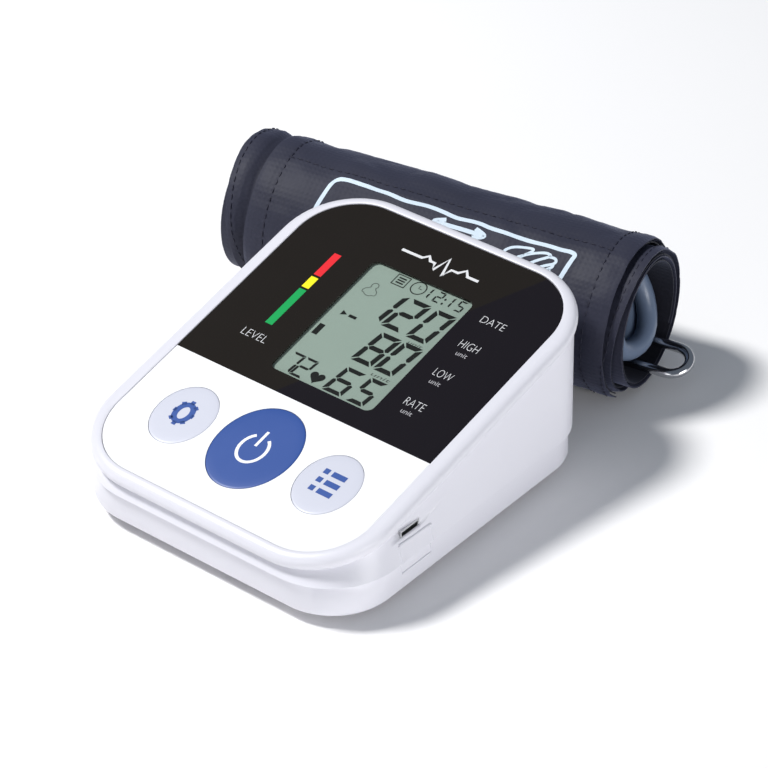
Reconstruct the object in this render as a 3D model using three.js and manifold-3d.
// Upper arm blood pressure monitor: a wedge-shaped desk unit with a tilted display deck, and its
// rolled arm cuff lying behind it with the air hose wound inside the roll.
// Millimetres, +X to the unit's right, +Y to its back, +Z up, standing on the plane z = 0.
import * as THREE from 'three';
import { mergeVertices } from 'three/addons/utils/BufferGeometryUtils.js';
import Module from 'manifold-3d';

const wasm = await Module();
wasm.setup();

// ---------------------------------------------------------------- driving dimensions
const GAP = 0.3; // running and assembly gap between neighbouring pieces

// display deck: a plane tilted towards the user, measured from its own centre
const TILT = THREE.MathUtils.degToRad(14);
const DECK_HEIGHT = 40.5;
const PANEL = { width: 103.5, length: 133.9, corner: 21, thick: 0.8 };
const RIM = { width: 114.6, length: 142.4, corner: 27, crown: 0.5 };
const WINDOW = { x: 1.3, y: 18.4, width: 41.2, length: 55.3, corner: 2.6 };
const RECESS_FLOOR = -1.1; // under the printed panel
const DECK_WALL = 2.2;

// casing
const WALL = 2.2;
const PART_LINE = 15; // height of the joint between the two shells
const FOOT_SHIFT = 1.5; // the footprint lies this far to the right of the deck
const SHELL_FOOT = { halfX: 58, front: -68.2, back: 60.5, corner: 25, backCorner: 19 };
const TRAY_FOOT = { halfX: 57.2, front: -66.8, back: 58.5, corner: 22, backCorner: 17 };
const TRAY_BOTTOM = 3;
const TRAY_FLOOR = 5.2;

// keys on the deck: half widths across and along the deck
const KEYS = {
  set: { x: -29.4, y: -39.7, a: 10.2, b: 12.5 },
  power: { x: 0, y: -39.2, a: 14.3, b: 17.5 },
  memory: { x: 29.4, y: -39.7, a: 10.2, b: 12.5 },
};
const KEY_PROUD = 0.4;

// circuit board, in the deck's frame
const BOARD = { halfX: 46, front: -57, back: 55, top: -8.6, thick: 1.6 };

// battery bay for four AA cells, open underneath and closed by the door
const BAY = { x: -13.5, y: 14, width: 61, length: 60, roof: 20.8 };
const CELL = { radius: 7.1, length: 50 };

const SCREW_PLACES = [[-45, -46], [46, -46], [-49.4, 34], [52.2, 34]];
const FOOT_PLACES = [[-40, -52], [40, -52], [-44, 49], [44, 49]];

// rolled cuff: nested spirals about a level axis, a little taller than wide
const CUFF = {
  x: -26, y: 91.2, yaw: THREE.MathUtils.degToRad(9.5), halfWidth: 26, halfHeight: 28,
};
const STEPS_PER_TURN = 24;
const ROLL_STEPS = 66; // two and three quarter turns
const TURNS = ROLL_STEPS / STEPS_PER_TURN;
const PITCH = 2.1; // growth of the roll's half width per turn
const TAIL_ANGLE = THREE.MathUtils.degToRad(-120); // where the tail ends, seen from the +X end
const CLOTH = 0.4;
const BLADDER = { thick: 0.4, from: 6, to: 36, margin: 9 }; // from and to in steps
const HOOK = { thick: 0.4, from: 55, to: 64, margin: 14 };
const STRIP_INNER = [-77, 77]; // side edges of the cloth strip at the inner end
const STRIP_OUTER = [-65, 72]; // and on the outermost turn

// long wire ring in the roll, and the hose wound to a coil inside it
const RING = { wire: 3.5, width: 15, length: 182, angle: THREE.MathUtils.degToRad(-72), depth: 17.7 };
const HOSE = { diameter: 7, coilRadius: 14, pitch: 7.4, turns: 5.6, start: 70.5 };
const COIL_RISE = 2.3; // the coil lies this far above the roll's axis

// ---------------------------------------------------------------- materials
const finish = (color, roughness, metalness = 0) =>
  new THREE.MeshStandardMaterial({ color, roughness, metalness });
const shellPlastic = finish(0xe8e7f0, 0.35);
const panelPrint = finish(0x2a2624, 0.15);
const clearPlastic = finish(0xdfe8e4, 0.05);
const lcdGrey = finish(0x96a79b, 0.2);
const framePlastic = finish(0xf2f2ee, 0.5);
const boardGreen = finish(0x1f6b3a, 0.5);
const keyPale = finish(0xe3e5f2, 0.4);
const keyBlue = finish(0x3e62ac, 0.4);
const partBlack = finish(0x1c1c1e, 0.5);
const steel = finish(0xb9bcc0, 0.3, 1);
const rubberGrey = finish(0x55575b, 0.8);
const tubeClear = finish(0xd9dde0, 0.3);
const cellBlue = finish(0x2c4f8f, 0.3);
const nylonNavy = finish(0x2c2d3a, 0.75);
const bladderVinyl = finish(0x6c7078, 0.5);
const hoseSlate = finish(0x5a6982, 0.45);
const chrome = finish(0xe6e6e8, 0.08, 1);

// ---------------------------------------------------------------- geometry helpers
const group = new THREE.Group();
const deck = new THREE.Group();
deck.position.z = DECK_HEIGHT;
deck.rotation.x = TILT;
const cuff = new THREE.Group();
cuff.position.set(CUFF.x, CUFF.y, 0);
cuff.rotation.z = CUFF.yaw;
group.add(deck, cuff);

// Adds a named piece to a group, in that group's own frame.
function piece(name, geometry, material, parent = group) {
  const mesh = new THREE.Mesh(geometry, material);
  mesh.name = name;
  parent.add(mesh);
  return mesh;
}

function solid(geometry) {
  const bare = geometry.clone();
  bare.deleteAttribute('normal');
  bare.deleteAttribute('uv');
  const merged = mergeVertices(bare, 1e-4);
  return new wasm.Manifold(new wasm.Mesh({
    numProp: 3,
    vertProperties: new Float32Array(merged.attributes.position.array),
    triVerts: new Uint32Array(merged.index.array),
  }));
}

function geometryOf(manifold) {
  const mesh = manifold.getMesh();
  const geometry = new THREE.BufferGeometry();
  geometry.setAttribute('position', new THREE.BufferAttribute(mesh.vertProperties, 3));
  geometry.setIndex(new THREE.BufferAttribute(mesh.triVerts, 1));
  return geometry;
}

// One body from a base with pieces joined to it and pieces cut from it.
function carved(base, { add = [], cut = [] }) {
  let body = solid(base);
  for (const extra of add) body = body.add(solid(extra));
  for (const tool of cut) body = body.subtract(solid(tool));
  return geometryOf(body);
}

// A rounded rectangle centred on (x, y), as a shape.
function roundedRect(width, length, radius, x = 0, y = 0) {
  const shape = new THREE.Shape();
  const corners = [[1, -1, -0.5], [1, 1, 0], [-1, 1, 0.5], [-1, -1, 1]];
  for (const [sx, sy, start] of corners) {
    const cx = x + sx * (width / 2 - radius);
    const cy = y + sy * (length / 2 - radius);
    shape.absarc(cx, cy, radius, start * Math.PI, (start + 0.5) * Math.PI, false);
  }
  shape.closePath();
  return shape;
}

// A flat plate of the shape, from height low to height high.
function plate(shape, low, high, curveSegments = 8) {
  const geometry = new THREE.ExtrudeGeometry(shape, {
    depth: high - low,
    bevelEnabled: false,
    curveSegments,
  });
  return geometry.translate(0, 0, low);
}

function ellipsePlate(key, grow, low, high) {
  const shape = new THREE.Shape();
  shape.absellipse(key.x, key.y, key.a + grow, key.b + grow, 0, 2 * Math.PI, false, 0);
  return plate(shape, low, high, 18);
}

function block(x0, x1, y0, y1, z0, z1) {
  const box = new THREE.BoxGeometry(x1 - x0, y1 - y0, z1 - z0);
  return box.translate((x0 + x1) / 2, (y0 + y1) / 2, (z0 + z1) / 2);
}

// A cylinder along an axis letter, between two places on that axis.
function rod(axis, radius, from, to, [u, v], sides = 20, radiusTo = radius) {
  const bar = new THREE.CylinderGeometry(radiusTo, radius, to - from, sides);
  const middle = (from + to) / 2;
  if (axis === 'x') return bar.rotateZ(-Math.PI / 2).translate(middle, u, v);
  if (axis === 'y') return bar.translate(u, middle, v);
  return bar.rotateX(Math.PI / 2).translate(u, v, middle);
}

// Closed skin over a stack of rings with equal point counts, each anticlockwise seen from above.
function loft(rings) {
  const count = rings[0].length;
  const points = rings.flat();
  const index = [];
  for (let level = 0; level < rings.length - 1; level += 1) {
    for (let j = 0; j < count; j += 1) {
      const a = level * count + j;
      const b = level * count + ((j + 1) % count);
      index.push(a, b, b + count, a, b + count, a + count);
    }
  }
  const middle = (ring) => ring.reduce((sum, p) => sum.add(p), new THREE.Vector3())
    .divideScalar(ring.length);
  const lowest = points.length;
  points.push(middle(rings[0]), middle(rings[rings.length - 1]));
  const top = (rings.length - 1) * count;
  for (let j = 0; j < count; j += 1) {
    const next = (j + 1) % count;
    index.push(lowest, next, j, lowest + 1, top + j, top + next);
  }
  const geometry = new THREE.BufferGeometry().setFromPoints(points);
  return geometry.setIndex(index);
}

// A closed band through stations of four corners each; closed loops join their two ends.
function band(stations, loop = false) {
  const sides = stations[0].length;
  const index = [];
  const last = loop ? stations.length : stations.length - 1;
  for (let i = 0; i < last; i += 1) {
    const here = i * sides;
    const there = ((i + 1) % stations.length) * sides;
    for (let j = 0; j < sides; j += 1) {
      const k = (j + 1) % sides;
      index.push(here + j, here + k, there + k, here + j, there + k, there + j);
    }
  }
  if (!loop) {
    const end = (stations.length - 1) * sides;
    for (let j = 1; j < sides - 1; j += 1) {
      index.push(0, j + 1, j, end, end + j, end + j + 1);
    }
  }
  return new THREE.BufferGeometry().setFromPoints(stations.flat()).setIndex(index);
}

function tube(points, radius, steps, sides = 10) {
  const section = new THREE.Shape();
  section.absarc(0, 0, radius, 0, 2 * Math.PI, false);
  const path = new THREE.CatmullRomCurve3(points.map((p) => new THREE.Vector3(...p)));
  return new THREE.ExtrudeGeometry(section, {
    steps, curveSegments: sides, bevelEnabled: false, extrudePath: path,
  });
}

// ---------------------------------------------------------------- casing shells
const CORNER_STEPS = 8;

// Points of a rounded rectangle between front and back, each placed by a function of (x, y).
function outline(halfX, front, back, radius, backRadius, place) {
  const points = [];
  const corners = [[1, front + radius, radius, -0.5], [1, back - backRadius, backRadius, 0],
    [-1, back - backRadius, backRadius, 0.5], [-1, front + radius, radius, 1]];
  for (const [side, cy, bend, start] of corners) {
    for (let k = 0; k <= CORNER_STEPS; k += 1) {
      const angle = (start + (0.5 * k) / CORNER_STEPS) * Math.PI;
      const cx = side * (halfX - bend);
      points.push(place(cx + bend * Math.cos(angle), cy + bend * Math.sin(angle)));
    }
  }
  return points;
}

const levelRing = (foot, inset, z) => outline(
  foot.halfX - inset, foot.front + inset, foot.back - inset,
  foot.corner - inset, foot.backCorner - inset,
  (x, y) => new THREE.Vector3(x + FOOT_SHIFT, y, z),
);

// A ring parallel to the deck, inset from the rim's outline, at a depth along the deck's normal.
const deckRing = (inset, depth) => outline(
  RIM.width / 2 - inset, -RIM.length / 2 + inset, RIM.length / 2 - inset,
  RIM.corner - inset, RIM.corner - inset,
  (x, y) => new THREE.Vector3(
    x,
    y * Math.cos(TILT) - depth * Math.sin(TILT),
    DECK_HEIGHT + y * Math.sin(TILT) + depth * Math.cos(TILT),
  ),
);

const inDeck = (geometry) => geometry.rotateX(TILT).translate(0, 0, DECK_HEIGHT);

const USB = { y: -32.8, z: 23.7, width: 9.6, height: 3.4 };
const AIR = { y: 18, z: 29.2, radius: 5 };

function topHousing() {
  const outer = loft([
    levelRing(SHELL_FOOT, 0, PART_LINE + GAP / 2),
    deckRing(1.5, -4.9),
    deckRing(0.5, -4.1),
    deckRing(0, -2.6),
    deckRing(0.4, -0.9),
    deckRing(1.5, 0.15),
    deckRing(2.8, RIM.crown),
    deckRing(4.0, RIM.crown - 0.1),
  ]);
  const hollow = loft([
    levelRing(SHELL_FOOT, WALL, PART_LINE - 1),
    deckRing(1.5 + WALL, -5),
    deckRing(5.5, RECESS_FLOOR - DECK_WALL),
  ]);
  const recess = plate(
    roundedRect(PANEL.width + 2 * GAP, PANEL.length + 2 * GAP, PANEL.corner + GAP),
    RECESS_FLOOR, 4,
  );
  const glassHole = plate(
    roundedRect(WINDOW.width + 3, WINDOW.length + 3, WINDOW.corner, WINDOW.x, WINDOW.y), -8, 4, 4,
  );
  const keyHoles = Object.values(KEYS).map((key) => inDeck(ellipsePlate(key, GAP, -8, 4)));
  const posts = SCREW_PLACES.map(([x, y]) => {
    const roof = DECK_HEIGHT + y * Math.tan(TILT) - 2.5;
    return rod('z', 3, 12.3, roof, [x, y]);
  });
  const bores = SCREW_PLACES.map(([x, y]) => rod('z', 1.6, 10, 20, [x, y], 12));
  const usbHole = block(50, 64, USB.y - USB.width / 2, USB.y + USB.width / 2,
    USB.z - USB.height / 2, USB.z + USB.height / 2);
  const airHole = rod('x', AIR.radius + GAP, -64, -48, [AIR.y, AIR.z], 24);
  return carved(geometryOf(solid(outer).subtract(solid(hollow))), {
    add: posts,
    cut: [inDeck(recess), inDeck(glassHole), ...keyHoles, ...bores, usbHole, airHole],
  });
}

function bottomHousing() {
  const outer = loft([
    levelRing(TRAY_FOOT, 3.4, TRAY_BOTTOM),
    levelRing(TRAY_FOOT, 1.2, TRAY_BOTTOM + 0.8),
    levelRing(TRAY_FOOT, 0, TRAY_BOTTOM + 2.6),
    levelRing(SHELL_FOOT, 1.3, PART_LINE - GAP / 2),
  ]);
  const hollow = loft([
    levelRing(TRAY_FOOT, WALL + 0.6, TRAY_FLOOR),
    levelRing(SHELL_FOOT, 1.3 + WALL, PART_LINE + 1),
  ]);
  const wall = 1.6;
  const { x, y, width, length, roof } = BAY;
  const bayShell = block(x - width / 2 - wall, x + width / 2 + wall,
    y - length / 2 - wall, y + length / 2 + wall, TRAY_BOTTOM + 0.4, roof + wall);
  const baySpace = block(x - width / 2, x + width / 2, y - length / 2, y + length / 2, 0, roof);
  const doorSeat = block(x - width / 2 - 1, x + width / 2 + 1,
    y - length / 2 - 1, y + length / 2 + 1, 0, TRAY_FLOOR - 0.4);
  const fingerDip = rod('x', 4, x - 8, x + 8, [y + length / 2 + 2.5, 1], 16);
  const towers = SCREW_PLACES.map(([u, v]) => rod('z', 4.2, TRAY_BOTTOM + 0.4, 12, [u, v]));
  const heads = SCREW_PLACES.map(([u, v]) => rod('z', 3.1, 0, 7, [u, v], 16));
  const bores = SCREW_PLACES.map(([u, v]) => rod('z', 1.6, 6, 14, [u, v], 12));
  return carved(geometryOf(solid(outer).subtract(solid(hollow))), {
    add: [bayShell, ...towers],
    cut: [baySpace, doorSeat, fingerDip, ...heads, ...bores],
  });
}

piece('top_housing', topHousing(), shellPlastic);
piece('bottom_housing', bottomHousing(), shellPlastic);

// ---------------------------------------------------------------- deck: panel, display, keys
const windowShape = (grow, x = WINDOW.x, y = WINDOW.y) => roundedRect(
  WINDOW.width + 2 * grow, WINDOW.length + 2 * grow, WINDOW.corner + Math.max(grow, 0), x, y,
);

piece('front_panel', carved(
  plate(roundedRect(PANEL.width, PANEL.length, PANEL.corner), -PANEL.thick, 0),
  {
    cut: [
      plate(windowShape(0), -2, 2, 4),
      ...Object.values(KEYS).map((key) => ellipsePlate(key, GAP, -2, 2)),
    ],
  },
), panelPrint, deck);
piece('display_window', plate(windowShape(-GAP), -PANEL.thick, -0.1, 4), clearPlastic, deck);
piece('lcd_glass', plate(windowShape(1), -3.4, RECESS_FLOOR - 0.1, 4), lcdGrey, deck);
piece('lcd_frame', carved(plate(windowShape(3), BOARD.top + GAP, -3.7, 4), {
  cut: [plate(windowShape(0.4), -12, -3, 4)],
}), framePlastic, deck);
piece('backlight_plate', plate(windowShape(0), -7, -4.2, 4), framePlastic, deck);

function keyGeometry(key) {
  return carved(ellipsePlate(key, 0, -4.2, KEY_PROUD), {
    add: [
      ellipsePlate(key, 1.4, -4.6, -3.3 - GAP),
      rod('z', 2.2, -5.6, -4, [key.x, key.y]),
    ],
  });
}
const switchGeometry = ({ x, y }) => carved(
  block(x - 3, x + 3, y - 3, y + 3, BOARD.top + GAP, -7.2),
  { add: [rod('z', 1.7, -7.5, -6.6, [x, y], 12)] },
);
for (const [name, key] of Object.entries(KEYS)) {
  piece(`${name}_button`, keyGeometry(key), name === 'power' ? keyBlue : keyPale, deck);
  piece(`${name}_switch`, switchGeometry(key), partBlack, deck);
}

const boardLength = BOARD.back - BOARD.front;
const boardMiddle = (BOARD.back + BOARD.front) / 2;
piece('main_board', carved(
  plate(roundedRect(2 * BOARD.halfX, boardLength, 14, 0, boardMiddle),
    BOARD.top - BOARD.thick, BOARD.top, 4),
  { cut: SCREW_PLACES.map(([x, y]) => rod('z', 5, -14, -6, [x, (y - 9.4 * Math.sin(TILT)) / Math.cos(TILT)])) },
), boardGreen, deck);
piece('buzzer', rod('z', 6, -13.6, BOARD.top - BOARD.thick - GAP, [-20, -42]), partBlack, deck);
piece('controller_chip', block(-7, 7, -52, -38, -12.6, BOARD.top - BOARD.thick - GAP),
  partBlack, deck);

// ---------------------------------------------------------------- sockets in the side walls
piece('charging_socket', carved(
  block(47, 57, USB.y - USB.width / 2 + GAP, USB.y + USB.width / 2 - GAP,
    USB.z - USB.height / 2 + GAP, USB.z + USB.height / 2 - GAP),
  { cut: [block(49, 60, USB.y - 3.9, USB.y + 3.9, USB.z - 0.8, USB.z + 0.8)] },
), steel);
piece('air_socket', carved(rod('x', AIR.radius, -58.5, -49, [AIR.y, AIR.z], 24), {
  add: [rod('x', 2.4, -50, -44, [AIR.y, AIR.z], 16)],
  cut: [
    rod('x', 3.3, -60, -51, [AIR.y, AIR.z], 16),
    rod('x', 1.2, -52, -43, [AIR.y, AIR.z], 10),
  ],
}), partBlack);

// ---------------------------------------------------------------- air system
const MANIFOLD = { x: 6, y: 41, z: 29.5 };
const PUMP = { x: 35.3, z: 19.4 };

piece('pump_motor', carved(rod('y', 11.5, 5, 30, [PUMP.x, PUMP.z], 24), {
  add: [rod('y', 3, 3, 5.5, [PUMP.x, PUMP.z], 12)],
}), steel);
piece('pump_head', carved(
  block(PUMP.x - 12.5, PUMP.x + 12.5, 30 + GAP, 52, PUMP.z - 12.5, PUMP.z + 12.5),
  { add: [rod('x', 1.8, 19, 25, [MANIFOLD.y, MANIFOLD.z - 1], 12)] },
), partBlack);
piece('pump_tube', rod('x', 2.4, MANIFOLD.x + 8.3, 18.7, [MANIFOLD.y, MANIFOLD.z - 1], 12),
  tubeClear);
piece('air_manifold', carved(
  block(MANIFOLD.x - 4.5, MANIFOLD.x + 4.5, MANIFOLD.y - 3.5, MANIFOLD.y + 3.5,
    MANIFOLD.z - 4, MANIFOLD.z + 2),
  {
    add: [
      rod('x', 1.6, MANIFOLD.x - 8, MANIFOLD.x + 8, [MANIFOLD.y, MANIFOLD.z - 1], 12),
      rod('y', 1.6, MANIFOLD.y - 7, MANIFOLD.y, [MANIFOLD.x, MANIFOLD.z - 1], 12),
      rod('z', 1.4, MANIFOLD.z + 1.5, MANIFOLD.z + 3.6, [MANIFOLD.x, MANIFOLD.y], 12),
    ],
  },
), framePlastic);
piece('pressure_sensor', carved(
  block(MANIFOLD.x - 5, MANIFOLD.x + 5, MANIFOLD.y - 4.5, MANIFOLD.y + 4.5,
    MANIFOLD.z + 5, MANIFOLD.z + 8),
  { add: [rod('z', 1.4, MANIFOLD.z + 3.9, MANIFOLD.z + 5.5, [MANIFOLD.x, MANIFOLD.y], 12)] },
), partBlack);
piece('valve_tube', rod('x', 2.4, -11.7, MANIFOLD.x - 8.3, [MANIFOLD.y, MANIFOLD.z - 1], 12),
  tubeClear);
piece('exhaust_valve', carved(block(-32, -15, 34, 48, 22.8, 35), {
  add: [rod('x', 1.6, -16, -12, [MANIFOLD.y, MANIFOLD.z - 1], 12)],
}), steel);
piece('socket_tube', tube([
  [MANIFOLD.x, MANIFOLD.y - 7.7, MANIFOLD.z - 1],
  [MANIFOLD.x - 1.5, 26, MANIFOLD.z - 0.8],
  [-6, 20.5, MANIFOLD.z - 0.8],
  [-20, 18.6, MANIFOLD.z - 0.6],
  [-33, AIR.y, AIR.z],
  [-43.6, AIR.y, AIR.z],
], 2.2, 20, 8), tubeClear);

// ---------------------------------------------------------------- batteries, contacts and door
const CELL_STEP = BAY.width / 4;
const CELL_HEIGHT = 13;
for (let n = 0; n < 4; n += 1) {
  const x = BAY.x + (n - 1.5) * CELL_STEP;
  const turned = n % 2 === 1 ? -1 : 1;
  const middle = BAY.y;
  const body = rod('y', CELL.radius, middle - 25, middle + 25, [x, CELL_HEIGHT], 20);
  const from = middle + (turned > 0 ? 24 : -26.4);
  const nub = rod('y', 2.6, from, from + 2.4, [x, CELL_HEIGHT], 12);
  piece(`battery_${n + 1}`, carved(body, { add: [nub] }), cellBlue);
}
function contactPlate(cells, y, towards) {
  const xs = cells.map((n) => BAY.x + (n - 1.5) * CELL_STEP);
  const low = Math.min(...xs) - 5.5;
  const high = Math.max(...xs) + 5.5;
  const leaf = block(low, high, y - 0.25, y + 0.25, 7, 18);
  const bumps = xs.map((x) => (towards > 0
    ? rod('y', 2.6, y, y + 1.2, [x, CELL_HEIGHT], 12)
    : rod('y', 2.6, y - 1.2, y, [x, CELL_HEIGHT], 12)));
  return carved(leaf, { add: bumps });
}
const bayFront = BAY.y - BAY.length / 2;
const bayBack = BAY.y + BAY.length / 2;
piece('front_contact_left', contactPlate([0, 1], bayFront + 0.6, 1), steel);
piece('front_contact_right', contactPlate([2, 3], bayFront + 0.6, 1), steel);
piece('rear_contact_left', contactPlate([0], bayBack - 0.6, -1), steel);
piece('rear_contact_middle', contactPlate([1, 2], bayBack - 0.6, -1), steel);
piece('rear_contact_right', contactPlate([3], bayBack - 0.6, -1), steel);

// The door turns about its rounded front edge and is gripped at the back by its finger grooves.
const DOOR = { low: TRAY_BOTTOM + 0.1, thick: 1.4, axisY: bayFront + 0.1, grooveSteps: [-6, -3, 0, 3, 6] };
piece('battery_door', carved(
  block(BAY.x - BAY.width / 2 - 0.6, BAY.x + BAY.width / 2 + 0.6,
    DOOR.axisY, bayBack + 0.6, DOOR.low, DOOR.low + DOOR.thick),
  {
    add: [rod('x', DOOR.thick / 2, BAY.x - BAY.width / 2 - 0.6, BAY.x + BAY.width / 2 + 0.6,
      [DOOR.axisY, DOOR.low + DOOR.thick / 2], 24)],
    cut: DOOR.grooveSteps.map((step) => block(BAY.x - 9, BAY.x + 9,
      bayBack - 10 + step, bayBack - 9 + step, 0, TRAY_BOTTOM + 0.6)),
  },
), shellPlastic);

// ---------------------------------------------------------------- feet and screws
FOOT_PLACES.forEach(([x, y], n) => {
  piece(`foot_${n + 1}`, rod('z', 4.6, 0, TRAY_BOTTOM - GAP, [x, y], 20, 5), rubberGrey);
});
SCREW_PLACES.forEach(([x, y], n) => {
  piece(`housing_screw_${n + 1}`, carved(rod('z', 2.7, 4.8, 6.7, [x, y], 16), {
    add: [rod('z', 1.25, 6.5, 18, [x, y], 10)],
    cut: [
      block(x - 1.6, x + 1.6, y - 0.35, y + 0.35, 4, 5.7),
      block(x - 0.35, x + 0.35, y - 1.6, y + 1.6, 4, 5.7),
    ],
  }), steel);
});

// ---------------------------------------------------------------- rolled cuff
// Every layer follows one spiral, counted in steps from its inner end: this is its depth there.
const spiralDepth = (step) => (PITCH * (ROLL_STEPS - step)) / STEPS_PER_TURN;
const angleAt = (step) => TAIL_ANGLE - (2 * Math.PI * (ROLL_STEPS - step)) / STEPS_PER_TURN;
const { smoothstep, lerp } = THREE.MathUtils;
const stripEdges = (step) => [0, 1].map((side) => lerp(
  STRIP_INNER[side], STRIP_OUTER[side], smoothstep(step, ROLL_STEPS - 34, ROLL_STEPS - 22),
));

// A layer of the roll between two steps: its outer face lies under(step) inside the spiral.
function layer({ from, to, thick, margin = 0 }, under) {
  const stations = [];
  for (let step = from; step <= to; step += 1) {
    const [low, high] = stripEdges(step);
    const left = low + margin;
    const right = high - margin;
    const depth = spiralDepth(step) + under(step);
    const at = (x, sunk) => new THREE.Vector3(
      x,
      (CUFF.halfWidth - sunk) * Math.cos(angleAt(step)),
      (CUFF.halfHeight - sunk) * Math.sin(angleAt(step)),
    );
    stations.push([
      at(left, depth + thick), at(right, depth + thick), at(right, depth), at(left, depth),
    ]);
  }
  return band(stations);
}
const underCloth = CLOTH + GAP;
const underBladder = underCloth + BLADDER.thick + GAP;
// past the bladder the two cloths lie closer together, which leaves room for the hook patch
const closing = (step) => smoothstep(step, BLADDER.to + 1, BLADDER.to + 6);
const innerDepth = (step) => lerp(underBladder, underCloth, closing(step));
const WHOLE_CLOTH = { from: 0, to: ROLL_STEPS, thick: CLOTH };
const outerCloth = layer(WHOLE_CLOTH, () => 0);
outerCloth.computeBoundingBox();
cuff.position.z = -outerCloth.boundingBox.min.z; // the roll rests on the ground
piece('cuff_outer_cloth', outerCloth, nylonNavy, cuff);
piece('cuff_bladder', layer(BLADDER, () => underCloth), bladderVinyl, cuff);
piece('cuff_inner_cloth', layer(WHOLE_CLOTH, innerDepth), nylonNavy, cuff);
piece('hook_patch', layer(HOOK, () => underCloth + CLOTH + GAP / 2), rubberGrey, cuff);

// The ring lies along the roll, beside the cloth's inner end; a sleeve of cloth holds one long side.
const ringFrame = new THREE.Group(); // its -Z points away from the roll's axis
ringFrame.rotation.x = RING.angle + Math.PI / 2;
cuff.add(ringFrame);
const RING_BEND = (RING.width - RING.wire) / 2;

function wireRing() {
  const straight = RING.length / 2 - RING.wire / 2 - RING_BEND;
  const stations = [];
  for (const side of [1, -1]) {
    for (let k = 0; k <= 10; k += 1) {
      const angle = (side > 0 ? -0.5 : 0.5) * Math.PI + (Math.PI * k) / 10;
      const out = new THREE.Vector3(Math.cos(angle), Math.sin(angle), 0);
      const place = new THREE.Vector3(side * straight, 0, -RING.depth)
        .addScaledVector(out, RING_BEND);
      const around = [];
      for (let j = 0; j < 10; j += 1) {
        const turn = (-2 * Math.PI * j) / 10;
        around.push(place.clone().addScaledVector(out, (RING.wire / 2) * Math.cos(turn))
          .setZ(place.z + (RING.wire / 2) * Math.sin(turn)));
      }
      stations.push(around);
    }
  }
  return band(stations, true);
}
piece('cuff_ring', wireRing(), chrome, ringFrame);

const SLEEVE = { from: -66, to: 4, inner: RING.wire / 2 + GAP, thick: 0.6 };
piece('ring_sleeve', carved(
  rod('x', SLEEVE.inner + SLEEVE.thick, SLEEVE.from, SLEEVE.to, [RING_BEND, -RING.depth], 16),
  { cut: [rod('x', SLEEVE.inner, SLEEVE.from - 1, SLEEVE.to + 1, [RING_BEND, -RING.depth], 16)] },
), nylonNavy, ringFrame);

// ---------------------------------------------------------------- air hose inside the roll
// The hose leaves its port near the roll's mouth, winds away from it and ends in a plug.
const HOSE_START = THREE.MathUtils.degToRad(190);
const coilCentre = { y: 0, z: COIL_RISE };
const TAIL = { turns: 0.51, run: 40, steps: 12 };

function hosePoint(turn) {
  const tail = Math.max(turn - HOSE.turns, 0) / TAIL.turns;
  const angle = HOSE_START + 2 * Math.PI * turn;
  const x = HOSE.start - HOSE.pitch * turn - TAIL.run * tail ** 2;
  return new THREE.Vector3(
    x,
    coilCentre.y + HOSE.coilRadius * Math.cos(angle),
    coilCentre.z + HOSE.coilRadius * Math.sin(angle),
  );
}
// A stretch of the hose between two turn counts, with a straight run added at its end.
function hoseStretch(from, to, steps, run = 0) {
  const points = [];
  for (let i = 0; i <= steps; i += 1) points.push(hosePoint(lerp(from, to, i / steps)));
  const last = points[points.length - 1];
  if (run > 0) points.push(last.clone().setX(last.x - run / 2), last.clone().setX(last.x - run));
  return tube(points.map((p) => p.toArray()), HOSE.diameter / 2, 2 * steps, 5);
}
const COIL = { high: 62.4, low: 24 };
const hoseRadius = HOSE.diameter / 2;
const ringSection = [
  [HOSE.coilRadius - hoseRadius, COIL.low], [HOSE.coilRadius + hoseRadius, COIL.low],
  [HOSE.coilRadius + hoseRadius, COIL.high], [HOSE.coilRadius - hoseRadius, COIL.high],
  [HOSE.coilRadius - hoseRadius, COIL.low],
].map(([radius, height]) => new THREE.Vector2(radius, height));
piece('air_hose_coil', new THREE.LatheGeometry(ringSection, 32).rotateZ(-Math.PI / 2)
  .translate(0, coilCentre.y, coilCentre.z), hoseSlate, cuff);
piece('air_hose_lead', hoseStretch(0.02, 0.54, 9), hoseSlate, cuff);
const tailEnd = hosePoint(HOSE.turns + TAIL.turns);
const TAIL_RUN = 8;
piece('air_hose_tail', hoseStretch(HOSE.turns + 0.26, HOSE.turns + TAIL.turns, 6, TAIL_RUN),
  hoseSlate, cuff);

const plugEnd = tailEnd.x - TAIL_RUN - GAP;
const plugAt = [tailEnd.y, tailEnd.z];
piece('air_plug', carved(rod('x', 3.2, plugEnd - 22, plugEnd - 9, plugAt, 16), {
  add: [rod('x', 4.5, plugEnd - 10, plugEnd, plugAt, 20)],
  cut: [rod('x', 1.1, plugEnd - 23, plugEnd - 3, plugAt, 10)],
}), partBlack, cuff);

// The port is a moulded nozzle on a disc, set along the hose's first direction.
const portFrame = new THREE.Group();
portFrame.position.copy(hosePoint(0));
portFrame.rotation.x = HOSE_START;
cuff.add(portFrame);
piece('hose_port', carved(rod('z', 2.4, -7, -GAP, [0, 0], 14), {
  add: [
    rod('z', 3.3, -7.4, -3, [0, 0], 16),
    rod('y', 3.4, 1.8, 3, [0, -4.2], 16),
    block(-1.5, 1.5, 0, 2.4, -6.4, -3.4),
  ],
}), partBlack, portFrame);

// ---------------------------------------------------------------- origin
// The origin is at the middle of the footprint's box, on the surface that the object stands on.
group.updateMatrixWorld(true);
const wound = ['air_hose_coil', 'air_hose_lead', 'air_hose_tail', 'air_plug'];
const extent = new THREE.Box3();
group.traverse((node) => {
  if (node.isMesh && !wound.includes(node.name)) extent.expandByObject(node, true);
});
const centre = extent.getCenter(new THREE.Vector3());
group.position.set(-centre.x, -centre.y, 0);

export default group;
